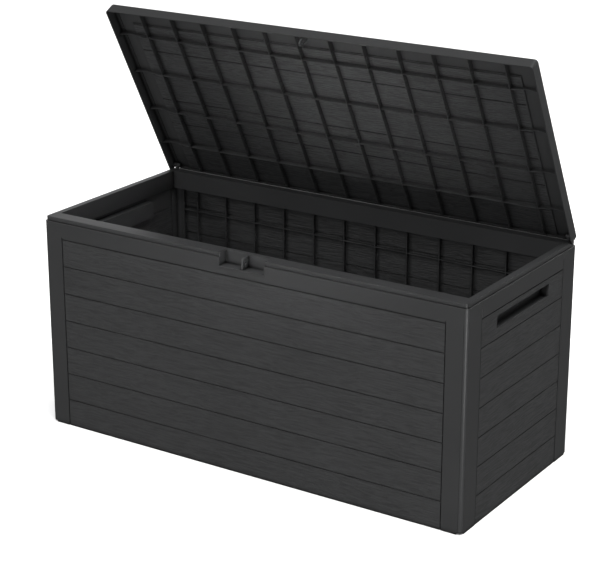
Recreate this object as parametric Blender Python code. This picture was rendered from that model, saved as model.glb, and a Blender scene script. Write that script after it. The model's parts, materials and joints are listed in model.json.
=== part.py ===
"""Deck storage box: wall panels on corner posts, a capping rim, and a ribbed lid that turns on two pins.

Metres, +Z up, +X to the right along the front, -Y towards the front. The origin is on the ground, under the
middle of the floor. The lid is modelled closed, in the frame of its hinge empty, which then stands it open.
"""

import math

import bmesh
import bpy

# Overall size
BOX_LENGTH = 1.200
BOX_DEPTH = 0.545
WALL_HEIGHT = 0.545
GAP = 0.0003
OVERCUT = 0.004

HALF_LENGTH = BOX_LENGTH / 2
HALF_DEPTH = BOX_DEPTH / 2

# Corner posts
CORNER_RADIUS = 0.009
POST_LEG = 0.030
POST_THICKNESS = 0.004
POST_FOOT_LIFT = 0.004
ARC_STEPS = 6
ROD_SIDES = 20
EAR_SIDES = 24
SCREW_SIDES = 12
SHARP_ANGLE = math.radians(40)

# Wall panels
WALL_SKIN = 0.0035
RIB_DEPTH = 0.010
RIB_THICKNESS = 0.003
LONG_WALL_THICKNESS = WALL_SKIN + RIB_DEPTH
SIDE_WALL_THICKNESS = 0.006
TOP_RAIL = 0.041
FRONT_STILE = 0.053
SIDE_STILE = 0.066
BOARD_COUNT = 7
BOARD_DROP = 0.0008
GROOVE_WIDTH = 0.0025
GROOVE_DEPTH = 0.0022
BOARD_PITCH = (WALL_HEIGHT - TOP_RAIL) / BOARD_COUNT
INNER_TOP_RAIL = 0.030
INNER_BOTTOM_RAIL = 0.010
INNER_SIDE_RAIL = 0.006
WALL_RIB_COUNT = 12
WALL_RIB_FIRST = 0.068
WALL_RIB_PITCH = 0.0782
SHELF_RIB_FIRST = 0.205
SHELF_RIB_PITCH = 0.182
SHELF_RIB_COUNT = 5

# Floor
FLOOR_LOW = 0.006
FLOOR_THICKNESS = 0.004
FLOOR_MARGIN = 0.0083
RUNNER_WIDTH = 0.040
RUNNER_SPACING = 0.180

# Rim
RIM_RISE = 0.011
RIM_TOP = WALL_HEIGHT + RIM_RISE
RIM_SET_IN = 0.0035
RIM_SKIN = 0.003
FRONT_RIM_WIDTH = 0.041
REAR_RIM_WIDTH = 0.037
SIDE_RIM_WIDTH = 0.020
APRON_LOW = WALL_HEIGHT - 0.036
TONGUE_DROP = 0.012
TONGUE_CLEAR_OF_CORNER = 0.060
RIM_CORNER_RADIUS = CORNER_RADIUS - RIM_SET_IN

# Latch recess, padlock staple and lid eye
TRAY_HALF_WIDTH = 0.066
TRAY_DEPTH = 0.0315
TRAY_SKIN = 0.0025
TRAY_DROP = 0.0245
RECESS_WEB_DEPTH = 0.027
RECESS_WEB_FOOT = 0.012
STAPLE_THICKNESS = 0.005
STAPLE_FRONT = 0.0035
STAPLE_RISE = 0.0058
STAPLE_ROOT_HALF_HEIGHT = 0.010
STAPLE_HEAD_HALF_WIDTH = 0.008
STAPLE_HEAD_DEPTH = 0.003
LOCK_HOLE_RADIUS = 0.005
LOCK_HOLE_IN = 0.0125
LOCK_HOLE_DROP = 0.008
EYE_RADIUS = 0.008
EYE_THICKNESS = 0.004
EYE_OFFSET = -0.0062
EYE_BASE_HALF = 0.010
EYE_BASE_THICKNESS = 0.002

# Handles
SLOT_HALF_LENGTH = 0.130
SLOT_HIGH = 0.488
SLOT_LOW = 0.457
CUP_MARGIN = 0.006
CUP_DEPTH = 0.020
CUP_SKIN = 0.0025

# Lid
LID_LOW = WALL_HEIGHT + 0.0005
LID_TOP = WALL_HEIGHT + 0.030
LID_SKIRT = 0.0027
LID_BORDER = 0.053
LID_BORDER_UNDERSIDE = LID_TOP - 0.0025
LID_PANEL_UNDERSIDE = LID_TOP - 0.0055
LID_BOARD_DROP = 0.001
LID_GROOVE_DEPTH = 0.0025
LID_BOARD_PITCH = 0.150 * BOX_DEPTH
LID_BOARD_COUNT = 6
LID_RIB_LOW = WALL_HEIGHT + 0.0125
LID_RIB_COUNT = 12
LID_RIB_FIRST = 0.079
LID_RIB_PITCH = 0.0777
CROSS_RIBS = (0.157, 0.380, 0.613, 0.828)
REAR_SKIRT_THICKNESS = 0.003
REAR_SKIRT_LOW = WALL_HEIGHT + 0.018

# Hinge
PIVOT_IN = 0.009
PIVOT_Y = HALF_DEPTH - PIVOT_IN
PIVOT_Z = WALL_HEIGHT + 0.021
LID_OPEN_ANGLE = math.radians(62)
RIB_REAR_CLEARANCE = 0.004
PIN_RADIUS = 0.0028
PIN_HEAD_RADIUS = 0.0055
PIN_HEAD_THICKNESS = 0.0032
EAR_RADIUS = 0.0055
EAR_OUTER = 0.586
EAR_INNER = 0.580
EAR_NOTCH_MARGIN = 0.0015
EAR_STEM_REAR = 0.0070
EAR_STEM_FRONT = 0.0145
BRACKET_INNER_END = 0.550
BRACKET_THICKNESS = 0.004
BRACKET_DROP = 0.030
PIN_SOCKET_END = 0.5985
SCREW_HOLE_CLEARANCE = 0.0003
SCREW_RADIUS = 0.0016
SCREW_HEAD_RADIUS = 0.0035
SCREW_HEAD_THICKNESS = 0.0024
SCREW_LENGTH = 0.008
SCREW_X = 0.560
SCREW_DROPS = (0.010, 0.022)

# Colours and finishes
ANTHRACITE = (0.043, 0.045, 0.048, 1.0)
RIM_GREY = (0.048, 0.050, 0.053, 1.0)
PIN_GREY = (0.100, 0.102, 0.105, 1.0)
SCREW_STEEL = (0.450, 0.450, 0.460, 1.0)
BOARD_ROUGHNESS = 0.55
SMOOTH_ROUGHNESS = 0.42
STEEL_ROUGHNESS = 0.35


def clear_scene():
    for existing in list(bpy.data.objects):
        bpy.data.objects.remove(existing, do_unlink=True)


def finish(obj, colour, roughness, metallic=0.0):
    """Gives the object its own Principled material."""
    material = bpy.data.materials.new(obj.name + "_finish")
    material.use_nodes = True
    shader = material.node_tree.nodes["Principled BSDF"]
    shader.inputs["Base Color"].default_value = colour
    shader.inputs["Roughness"].default_value = roughness
    shader.inputs["Metallic"].default_value = metallic
    obj.data.materials.append(material)


def object_from(name, bm, parent=None):
    """Turns a bmesh into an object. A child's mesh is in its parent's frame."""
    bmesh.ops.recalc_face_normals(bm, faces=bm.faces)
    mesh = bpy.data.meshes.new(name)
    bm.to_mesh(mesh)
    bm.free()
    obj = bpy.data.objects.new(name, mesh)
    bpy.context.scene.collection.objects.link(obj)
    obj.parent = parent
    return obj


def add_box(bm, low, high):
    corners = [(x, y, z) for x in (low[0], high[0]) for y in (low[1], high[1]) for z in (low[2], high[2])]
    verts = [bm.verts.new(corner) for corner in corners]
    for face in ((0, 1, 3, 2), (4, 6, 7, 5), (0, 4, 5, 1), (2, 3, 7, 6), (0, 2, 6, 4), (1, 5, 7, 3)):
        bm.faces.new([verts[index] for index in face])


def boxes(name, corners, parent=None):
    """An object of one or more separate boxes, each given by its low and high corner."""
    bm = bmesh.new()
    for low, high in corners:
        ordered = [sorted(pair) for pair in zip(low, high)]
        add_box(bm, [pair[0] for pair in ordered], [pair[1] for pair in ordered])
    return object_from(name, bm, parent)


def prism(name, starts, ends, parent=None):
    """A solid between two outlines that have the same number of points."""
    bm = bmesh.new()
    first = [bm.verts.new(point) for point in starts]
    last = [bm.verts.new(point) for point in ends]
    bm.faces.new(first)
    bm.faces.new(last[::-1])
    for index in range(len(first)):
        after = (index + 1) % len(first)
        bm.faces.new((first[index], last[index], last[after], first[after]))
    return object_from(name, bm, parent)


def rod_along(axis, name, centre, radius, start, end, parent=None, sides=ROD_SIDES):
    """A round rod along X or Y. centre gives the other two coordinates, in order."""
    ring = [2 * math.pi * step / sides for step in range(sides)]
    circle = [(centre[0] + radius * math.cos(a), centre[1] + radius * math.sin(a)) for a in ring]
    if axis == "X":
        starts = [(start, p, q) for p, q in circle]
        ends = [(end, p, q) for p, q in circle]
    else:
        starts = [(p, start, q) for p, q in circle]
        ends = [(p, end, q) for p, q in circle]
    rod = prism(name, starts, ends, parent)
    rod.data.shade_smooth()
    rod.data.set_sharp_from_angle(angle=SHARP_ANGLE)
    return rod


def combine(obj, other, operation):
    """Boolean with a helper object, which is kept out of the build."""
    other.hide_render = True
    other.display_type = "WIRE"
    modifier = obj.modifiers.new(other.name, "BOOLEAN")
    modifier.operation = operation
    modifier.object = other
    modifier.solver = "EXACT"


def cut(obj, other):
    combine(obj, other, "DIFFERENCE")


def join(obj, other):
    combine(obj, other, "UNION")


def arc(centre, radius, start_degrees, end_degrees, steps=ARC_STEPS):
    angles = [start_degrees + (end_degrees - start_degrees) * step / steps for step in range(steps + 1)]
    return [
        (centre[0] + radius * math.cos(math.radians(a)), centre[1] + radius * math.sin(math.radians(a)))
        for a in angles
    ]


def rounded_rectangle(half_x, half_y, radius):
    points = []
    for sign_x, sign_y, start in ((1, 1, 0), (-1, 1, 90), (-1, -1, 180), (1, -1, 270)):
        centre = (sign_x * (half_x - radius), sign_y * (half_y - radius))
        points += arc(centre, radius, start, start + 90)
    return points


def spans(edges, thickness):
    """The clear intervals between ribs: edges holds the outer limits with the rib centres between them."""
    lows = [edges[0]] + [centre + thickness / 2 for centre in edges[1:-1]]
    highs = [centre - thickness / 2 for centre in edges[1:-1]] + [edges[-1]]
    return list(zip(lows, highs))


def groove_boards(wall, name, half_region, place):
    """Sinks the boards a little below the frame and cuts the grooves round and between them.

    place(across, depth, height) turns the wall's own coordinates into world ones, depth from the outer face.
    """
    top = WALL_HEIGHT - TOP_RAIL
    cut(wall, boxes(name + "_board_face", [(place(-half_region, -OVERCUT, -OVERCUT),
                                            place(half_region, BOARD_DROP, top))]))
    levels = [top - BOARD_PITCH * index for index in range(BOARD_COUNT)]
    level_boxes = []
    for level in levels:
        high = level if level == top else level + GROOVE_WIDTH / 2
        low = place(-half_region + GROOVE_WIDTH / 2, -OVERCUT, high - GROOVE_WIDTH)
        level_boxes.append((low, place(half_region - GROOVE_WIDTH / 2, GROOVE_DEPTH, high)))
    cut(wall, boxes(name + "_level_grooves", level_boxes))
    upright_boxes = []
    for side in (-1, 1):
        outer = side * half_region
        inner = side * (half_region - GROOVE_WIDTH)
        upright_boxes.append((place(outer, -OVERCUT, -OVERCUT), place(inner, GROOVE_DEPTH, top)))
    cut(wall, boxes(name + "_upright_grooves", upright_boxes))


def long_wall(name, side):
    """Front (side -1) or rear (side 1) wall: a boarded skin with a grid of ribs on its inner face."""

    def place(across, depth, height):
        return (across, side * (HALF_DEPTH - depth), height)

    half = HALF_LENGTH - CORNER_RADIUS - GAP
    wall = boxes(name, [(place(-half, 0, 0), place(half, LONG_WALL_THICKNESS, WALL_HEIGHT))])
    lap = HALF_LENGTH - POST_LEG - GAP
    laps = [
        (place(end * lap, WALL_SKIN, -OVERCUT),
         place(end * HALF_LENGTH, LONG_WALL_THICKNESS + OVERCUT, WALL_HEIGHT + OVERCUT))
        for end in (-1, 1)
    ]
    cut(wall, boxes(name + "_post_laps", laps))
    groove_boards(wall, name, HALF_LENGTH - FRONT_STILE, place)

    pocket_half = lap - INNER_SIDE_RAIL
    columns = [-HALF_LENGTH + BOX_LENGTH * (WALL_RIB_FIRST + WALL_RIB_PITCH * index)
               for index in range(WALL_RIB_COUNT)]
    shelves = sorted(RIM_TOP - WALL_HEIGHT * (SHELF_RIB_FIRST + SHELF_RIB_PITCH * index)
                     for index in range(SHELF_RIB_COUNT))
    pockets = [
        (place(x_low, WALL_SKIN, z_low), place(x_high, LONG_WALL_THICKNESS + OVERCUT, z_high))
        for x_low, x_high in spans([-pocket_half, *columns, pocket_half], RIB_THICKNESS)
        for z_low, z_high in spans([INNER_BOTTOM_RAIL, *shelves, WALL_HEIGHT - INNER_TOP_RAIL], RIB_THICKNESS)
    ]
    cut(wall, boxes(name + "_pockets", pockets))
    notches = [(place(end * (half - POST_FOOT_LIFT), -OVERCUT, -OVERCUT),
                place(end * HALF_LENGTH, WALL_SKIN + OVERCUT, POST_FOOT_LIFT)) for end in (-1, 1)]
    cut(wall, boxes(name + "_foot_notches", notches))
    finish(wall, ANTHRACITE, BOARD_ROUGHNESS)
    return wall


def side_wall(name, side):
    """Left (side -1) or right (side 1) wall, with the slot for the fingers."""

    def place(across, depth, height):
        return (side * (HALF_LENGTH - depth), across, height)

    half = HALF_DEPTH - CORNER_RADIUS - GAP
    wall = boxes(name, [(place(-half, 0, 0), place(half, SIDE_WALL_THICKNESS, WALL_HEIGHT))])
    lap = HALF_DEPTH - POST_LEG - GAP
    laps = [
        (place(end * lap, WALL_SKIN, -OVERCUT),
         place(end * HALF_DEPTH, SIDE_WALL_THICKNESS + OVERCUT, WALL_HEIGHT + OVERCUT))
        for end in (-1, 1)
    ]
    cut(wall, boxes(name + "_post_laps", laps))
    groove_boards(wall, name, HALF_DEPTH - SIDE_STILE, place)
    slot = (place(-SLOT_HALF_LENGTH, -OVERCUT, SLOT_LOW),
            place(SLOT_HALF_LENGTH, SIDE_WALL_THICKNESS + OVERCUT, SLOT_HIGH))
    cut(wall, boxes(name + "_slot", [slot]))
    notches = [(place(end * (half - POST_FOOT_LIFT), -OVERCUT, -OVERCUT),
                place(end * HALF_DEPTH, WALL_SKIN + OVERCUT, POST_FOOT_LIFT)) for end in (-1, 1)]
    cut(wall, boxes(name + "_foot_notches", notches))
    finish(wall, ANTHRACITE, BOARD_ROUGHNESS)
    return wall


def handle_cup(name, side):
    """The closed pocket behind a finger slot."""

    def place(across, depth, height):
        return (side * (HALF_LENGTH - depth), across, height)

    mouth = SIDE_WALL_THICKNESS + GAP
    half = SLOT_HALF_LENGTH + CUP_MARGIN
    cup = boxes(name, [(place(-half, mouth, SLOT_LOW - CUP_MARGIN),
                        place(half, mouth + CUP_DEPTH, SLOT_HIGH + CUP_MARGIN))])
    inner = half - CUP_SKIN
    hollow = (place(-inner, mouth - OVERCUT, SLOT_LOW - CUP_MARGIN + CUP_SKIN),
              place(inner, mouth + CUP_DEPTH - CUP_SKIN, SLOT_HIGH + CUP_MARGIN - CUP_SKIN))
    cut(cup, boxes(name + "_hollow", [hollow]))
    finish(cup, ANTHRACITE, SMOOTH_ROUGHNESS)


def corner_post(name, side_x, side_y):
    """An angle-section post. Its rounded outer corner shows between two wall panels, which lap its legs."""
    rebate = WALL_SKIN + GAP
    inner = rebate + POST_THICKNESS
    outline = arc((CORNER_RADIUS, CORNER_RADIUS), CORNER_RADIUS, 180, 270)
    outline += [(CORNER_RADIUS, rebate), (POST_LEG, rebate), (POST_LEG, inner), (inner, inner)]
    outline += [(inner, POST_LEG), (rebate, POST_LEG), (rebate, CORNER_RADIUS)]
    plan = [(side_x * (HALF_LENGTH - u), side_y * (HALF_DEPTH - v)) for u, v in outline]
    post = prism(name, [(x, y, POST_FOOT_LIFT) for x, y in plan],
                 [(x, y, WALL_HEIGHT - GAP) for x, y in plan])
    finish(post, RIM_GREY, SMOOTH_ROUGHNESS)


def floor_panel():
    half_x = HALF_LENGTH - FLOOR_MARGIN
    half_y = HALF_DEPTH - LONG_WALL_THICKNESS - GAP
    plate = boxes("floor_panel", [((-half_x, -half_y, FLOOR_LOW),
                                   (half_x, half_y, FLOOR_LOW + FLOOR_THICKNESS))])
    runners = [
        ((-half_x + RUNNER_WIDTH, row * RUNNER_SPACING - RUNNER_WIDTH / 2, 0),
         (half_x - RUNNER_WIDTH, row * RUNNER_SPACING + RUNNER_WIDTH / 2, FLOOR_LOW + FLOOR_THICKNESS / 2))
        for row in (-1, 0, 1)
    ]
    join(plate, boxes("floor_runners", runners))
    finish(plate, ANTHRACITE, BOARD_ROUGHNESS)


def rim_section(width):
    """Outline of a rim rail as (distance in from the outer face, height): lip, flange and apron."""
    low = WALL_HEIGHT + GAP
    under = RIM_TOP - RIM_SKIN
    return [
        (RIM_SET_IN, low), (RIM_SET_IN, RIM_TOP), (width, RIM_TOP), (width, APRON_LOW),
        (width - RIM_SKIN, APRON_LOW), (width - RIM_SKIN, under), (RIM_SET_IN + RIM_SKIN, under),
        (RIM_SET_IN + RIM_SKIN, low),
    ]


def corner_trim(name, side_x, side_y):
    """Cutter that rounds one outer corner of the rim."""
    centre = (CORNER_RADIUS, CORNER_RADIUS)
    outline = [(-OVERCUT, -OVERCUT), (-OVERCUT, CORNER_RADIUS)]
    outline += arc(centre, RIM_CORNER_RADIUS, 180, 270)
    outline += [(CORNER_RADIUS, -OVERCUT)]
    plan = [(side_x * (HALF_LENGTH - u), side_y * (HALF_DEPTH - v)) for u, v in outline]
    low = WALL_HEIGHT - OVERCUT
    return prism(name, [(x, y, low) for x, y in plan], [(x, y, RIM_TOP + OVERCUT) for x, y in plan])


def long_rim(name, side, width):
    """Front or rear rim rail, mitred to meet the narrower side rails."""
    slope = SIDE_RIM_WIDTH / width
    section = rim_section(width)
    ends = [[(end * (HALF_LENGTH - depth * slope - GAP), side * (HALF_DEPTH - depth), height)
             for depth, height in section] for end in (-1, 1)]
    rim = prism(name, ends[0], ends[1])
    tongue_half = HALF_LENGTH - TONGUE_CLEAR_OF_CORNER
    tongue_in = LONG_WALL_THICKNESS + GAP
    tongue = ((-tongue_half, side * (HALF_DEPTH - tongue_in), WALL_HEIGHT - TONGUE_DROP),
              (tongue_half, side * (HALF_DEPTH - tongue_in - RIM_SKIN), RIM_TOP - RIM_SKIN / 2))
    join(rim, boxes(name + "_tongue", [tongue]))
    for end, word in ((-1, "left"), (1, "right")):
        cut(rim, corner_trim(f"{name}_{word}_trim", end, side))
    finish(rim, RIM_GREY, SMOOTH_ROUGHNESS)
    return rim


def side_rim(name, side):
    """Left or right rim rail."""
    section = rim_section(SIDE_RIM_WIDTH)

    def end_face(end, width):
        slope = width / SIDE_RIM_WIDTH
        return [(side * (HALF_LENGTH - depth), end * (HALF_DEPTH - depth * slope - GAP), height)
                for depth, height in section]

    rim = prism(name, end_face(-1, FRONT_RIM_WIDTH), end_face(1, REAR_RIM_WIDTH))
    tongue_half = HALF_DEPTH - TONGUE_CLEAR_OF_CORNER
    tongue_in = SIDE_WALL_THICKNESS + GAP
    tongue = ((side * (HALF_LENGTH - tongue_in), -tongue_half, WALL_HEIGHT - TONGUE_DROP),
              (side * (HALF_LENGTH - tongue_in - RIM_SKIN), tongue_half, RIM_TOP - RIM_SKIN / 2))
    join(rim, boxes(name + "_tongue", [tongue]))
    for end, word in ((-1, "front"), (1, "rear")):
        cut(rim, corner_trim(f"{name}_{word}_trim", side, end))
    finish(rim, RIM_GREY, SMOOTH_ROUGHNESS)
    return rim


def latch_tray():
    """The open-fronted recess in the middle of the front rim."""
    low = WALL_HEIGHT - TRAY_DROP
    tray = boxes("latch_tray", [((-TRAY_HALF_WIDTH, -HALF_DEPTH, low),
                                 (TRAY_HALF_WIDTH, -HALF_DEPTH + TRAY_DEPTH, RIM_TOP - GAP))])
    inner = TRAY_HALF_WIDTH - TRAY_SKIN
    back = -HALF_DEPTH + TRAY_DEPTH - TRAY_SKIN
    cut(tray, boxes("latch_tray_hollow", [((-inner, -HALF_DEPTH - OVERCUT, low + TRAY_SKIN),
                                           (inner, back, RIM_TOP + OVERCUT))]))
    skirt_room = ((-TRAY_HALF_WIDTH - OVERCUT, -HALF_DEPTH - OVERCUT, WALL_HEIGHT),
                  (TRAY_HALF_WIDTH + OVERCUT, -HALF_DEPTH + RIM_SET_IN, RIM_TOP + OVERCUT))
    cut(tray, boxes("latch_tray_skirt_room", [skirt_room]))
    slot_half = STAPLE_THICKNESS / 2 + GAP
    hole_z = WALL_HEIGHT - LOCK_HOLE_DROP
    cut(tray, boxes("latch_tray_slot", [((-slot_half, back - OVERCUT, hole_z - STAPLE_ROOT_HALF_HEIGHT - GAP),
                                         (slot_half, -HALF_DEPTH + TRAY_DEPTH + OVERCUT,
                                          hole_z + STAPLE_ROOT_HALF_HEIGHT + GAP))]))
    finish(tray, RIM_GREY, SMOOTH_ROUGHNESS)


def lock_staple():
    """Upright plate with a hole for a padlock, keyed through the back of the tray."""
    half = STAPLE_THICKNESS / 2
    hole_y = -HALF_DEPTH + LOCK_HOLE_IN
    hole_z = WALL_HEIGHT - LOCK_HOLE_DROP
    low = WALL_HEIGHT - TRAY_DROP + TRAY_SKIN + GAP
    high = WALL_HEIGHT + STAPLE_RISE
    back = -HALF_DEPTH + TRAY_DEPTH
    nose = LOCK_HOLE_IN - STAPLE_FRONT
    nose_arc = [(hole_y - nose * math.sin(a), high - nose + nose * math.cos(a))
                for a in (math.pi / 2 * step / ARC_STEPS for step in range(ARC_STEPS + 1))]
    outline = nose_arc + [(hole_y - nose, low), (back - TRAY_SKIN - GAP, low), (back - TRAY_SKIN - GAP, high)]
    staple = prism("lock_staple", [(-half, y, z) for y, z in outline], [(half, y, z) for y, z in outline])
    root = ((-half, back - TRAY_SKIN - 2 * GAP, hole_z - STAPLE_ROOT_HALF_HEIGHT),
            (half, back + GAP + STAPLE_HEAD_DEPTH / 2, hole_z + STAPLE_ROOT_HALF_HEIGHT))
    join(staple, boxes("lock_staple_root", [root]))
    head = ((-STAPLE_HEAD_HALF_WIDTH, back + GAP, hole_z - STAPLE_ROOT_HALF_HEIGHT),
            (STAPLE_HEAD_HALF_WIDTH, back + GAP + STAPLE_HEAD_DEPTH, hole_z + STAPLE_ROOT_HALF_HEIGHT))
    join(staple, boxes("lock_staple_head", [head]))
    cut(staple, rod_along("X", "lock_staple_hole", (hole_y, hole_z), LOCK_HOLE_RADIUS,
                          -half - OVERCUT, half + OVERCUT))
    finish(staple, PIN_GREY, SMOOTH_ROUGHNESS)


def hinge_bracket(name, side):
    """Plate screwed behind the rear wall's top rail, with an ear that stands up through the rim."""
    inner_face = HALF_DEPTH - LONG_WALL_THICKNESS - GAP
    high = RIM_TOP - RIM_SKIN - GAP
    plate = ((side * BRACKET_INNER_END, inner_face - BRACKET_THICKNESS, WALL_HEIGHT - BRACKET_DROP),
             (side * EAR_OUTER, inner_face, high))
    bracket = boxes(name, [plate])
    stem = ((side * EAR_INNER, HALF_DEPTH - EAR_STEM_FRONT, WALL_HEIGHT + 2 * GAP),
            (side * EAR_OUTER, HALF_DEPTH - EAR_STEM_REAR, PIVOT_Z))
    join(bracket, boxes(name + "_stem", [stem]))
    join(bracket, rod_along("X", name + "_ear", (PIVOT_Y, PIVOT_Z), EAR_RADIUS,
                            *sorted((side * EAR_INNER, side * EAR_OUTER)), sides=EAR_SIDES))
    cut(bracket, rod_along("X", name + "_pin_hole", (PIVOT_Y, PIVOT_Z), PIN_RADIUS + GAP,
                           *sorted((side * (EAR_INNER - OVERCUT), side * (EAR_OUTER + OVERCUT)))))
    for index, drop in enumerate(SCREW_DROPS):
        cut(bracket, rod_along("Y", f"{name}_screw_hole_{index}", (side * SCREW_X, WALL_HEIGHT - drop),
                               SCREW_RADIUS + SCREW_HOLE_CLEARANCE, inner_face - BRACKET_THICKNESS - OVERCUT,
                               inner_face + OVERCUT, sides=SCREW_SIDES))
    finish(bracket, RIM_GREY, SMOOTH_ROUGHNESS)


def hinge_pin(name, side):
    """Headed pin through the ear into the lid's socket."""
    head_outer = EAR_INNER - GAP
    head = rod_along("X", name, (PIVOT_Y, PIVOT_Z), PIN_HEAD_RADIUS,
                     *sorted((side * (head_outer - PIN_HEAD_THICKNESS), side * head_outer)), sides=EAR_SIDES)
    shank_ends = sorted((side * (head_outer - PIN_HEAD_THICKNESS / 2), side * (PIN_SOCKET_END - 2 * GAP)))
    shank = rod_along("X", name + "_shank", (PIVOT_Y, PIVOT_Z), PIN_RADIUS, *shank_ends)
    join(head, shank)
    finish(head, PIN_GREY, SMOOTH_ROUGHNESS)


def hinge_screws(name, side, rear_wall):
    """The two screws of one bracket, with their holes in the rear wall."""
    head_seat = HALF_DEPTH - LONG_WALL_THICKNESS - 2 * GAP - BRACKET_THICKNESS
    for index, drop in enumerate(SCREW_DROPS):
        centre = (side * SCREW_X, WALL_HEIGHT - drop)
        screw = rod_along("Y", f"{name}_screw_{index + 1}", centre, SCREW_HEAD_RADIUS,
                          head_seat - SCREW_HEAD_THICKNESS, head_seat, sides=SCREW_SIDES)
        join(screw, rod_along("Y", screw.name + "_shank", centre, SCREW_RADIUS,
                              head_seat - SCREW_HEAD_THICKNESS / 2, head_seat + SCREW_LENGTH,
                              sides=SCREW_SIDES))
        finish(screw, SCREW_STEEL, STEEL_ROUGHNESS, metallic=1.0)
        cut(rear_wall, rod_along("Y", screw.name + "_wall_hole", centre, SCREW_RADIUS + SCREW_HOLE_CLEARANCE,
                                 head_seat, head_seat + SCREW_LENGTH + GAP, sides=SCREW_SIDES))


def lid_frame():
    """The hinge empty, on the pin axis and turned so that the lid stands open."""
    hinge = bpy.data.objects.new("lid_hinge_axis", None)
    bpy.context.scene.collection.objects.link(hinge)
    hinge.location = (0, PIVOT_Y, PIVOT_Z)
    hinge.rotation_euler = (-LID_OPEN_ANGLE, 0, 0)
    return hinge


def in_hinge_frame(points):
    """Moves points given for the closed lid into the hinge's frame."""
    return [(x, y - PIVOT_Y, z - PIVOT_Z) for x, y, z in points]


def lid_boxes(name, corners, hinge):
    return boxes(name, [in_hinge_frame(pair) for pair in corners], hinge)


def lid_plate(name, half_x, half_y, radius, low, high, hinge):
    plan = rounded_rectangle(half_x, half_y, radius)
    return prism(name, in_hinge_frame([(x, y, low) for x, y in plan]),
                 in_hinge_frame([(x, y, high) for x, y in plan]), hinge)


def lid_shell(hinge):
    """Boarded top, border, skirts and the rib grid underneath, as one moulding."""
    shell = lid_plate("lid_shell", HALF_LENGTH, HALF_DEPTH, CORNER_RADIUS, LID_LOW, LID_TOP, hinge)
    cut(shell, lid_plate("lid_hollow", HALF_LENGTH - LID_SKIRT, HALF_DEPTH - LID_SKIRT,
                         CORNER_RADIUS - LID_SKIRT, LID_LOW - OVERCUT, LID_BORDER_UNDERSIDE, hinge))

    board_half = HALF_LENGTH - LID_BORDER
    board_front = HALF_DEPTH - LID_BOARD_PITCH * LID_BOARD_COUNT
    panel = ((-board_half - LID_SKIRT, board_front - LID_SKIRT, LID_PANEL_UNDERSIDE),
             (board_half + LID_SKIRT, HALF_DEPTH - LID_SKIRT / 2, LID_TOP - LID_SKIRT / 2))
    join(shell, lid_boxes("lid_panel", [panel], hinge))

    top = LID_TOP + OVERCUT
    cut(shell, lid_boxes("lid_board_face", [((-board_half, board_front, LID_TOP - LID_BOARD_DROP),
                                             (board_half, HALF_DEPTH + OVERCUT, top))], hinge))
    groove_low = LID_TOP - LID_GROOVE_DEPTH
    across = board_half - GROOVE_WIDTH / 2
    grooves = []
    for index in range(LID_BOARD_COUNT):
        line = board_front + LID_BOARD_PITCH * index
        front = line if index == 0 else line - GROOVE_WIDTH / 2
        grooves.append(((-across, front, groove_low), (across, front + GROOVE_WIDTH, top)))
    cut(shell, lid_boxes("lid_cross_grooves", grooves, hinge))
    end_grooves = [
        ((side * board_half, board_front, groove_low),
         (side * (board_half - GROOVE_WIDTH), HALF_DEPTH + OVERCUT, top))
        for side in (-1, 1)
    ]
    cut(shell, lid_boxes("lid_end_grooves", end_grooves, hinge))
    add_lid_ribs(shell, hinge)
    shape_lid_rear(shell, hinge)
    finish(shell, ANTHRACITE, BOARD_ROUGHNESS)


def add_lid_ribs(shell, hinge):
    """Front-to-back ribs, shallower past the hinge line, and the cross ribs from skirt to skirt."""
    front = -HALF_DEPTH + LID_SKIRT / 2
    high = LID_PANEL_UNDERSIDE + LID_SKIRT / 2
    rear = HALF_DEPTH - REAR_SKIRT_THICKNESS / 2
    centres = [-HALF_LENGTH + BOX_LENGTH * (LID_RIB_FIRST + LID_RIB_PITCH * index)
               for index in range(LID_RIB_COUNT)]
    half = RIB_THICKNESS / 2
    deep = [((x - half, front, LID_RIB_LOW), (x + half, PIVOT_Y - RIB_REAR_CLEARANCE, high)) for x in centres]
    join(shell, lid_boxes("lid_ribs", deep, hinge))
    shallow = [((x - half, PIVOT_Y - 2 * RIB_REAR_CLEARANCE, REAR_SKIRT_LOW), (x + half, rear, high))
               for x in centres]
    join(shell, lid_boxes("lid_rib_tails", shallow, hinge))
    border_high = LID_BORDER_UNDERSIDE + LID_SKIRT / 4
    end = HALF_LENGTH - LID_SKIRT / 2
    rows = [-HALF_DEPTH + BOX_DEPTH * fraction for fraction in CROSS_RIBS]
    cross = [((-end, y - half, LID_RIB_LOW), (end, y + half, border_high)) for y in rows]
    join(shell, lid_boxes("lid_cross_ribs", cross, hinge))


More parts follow.
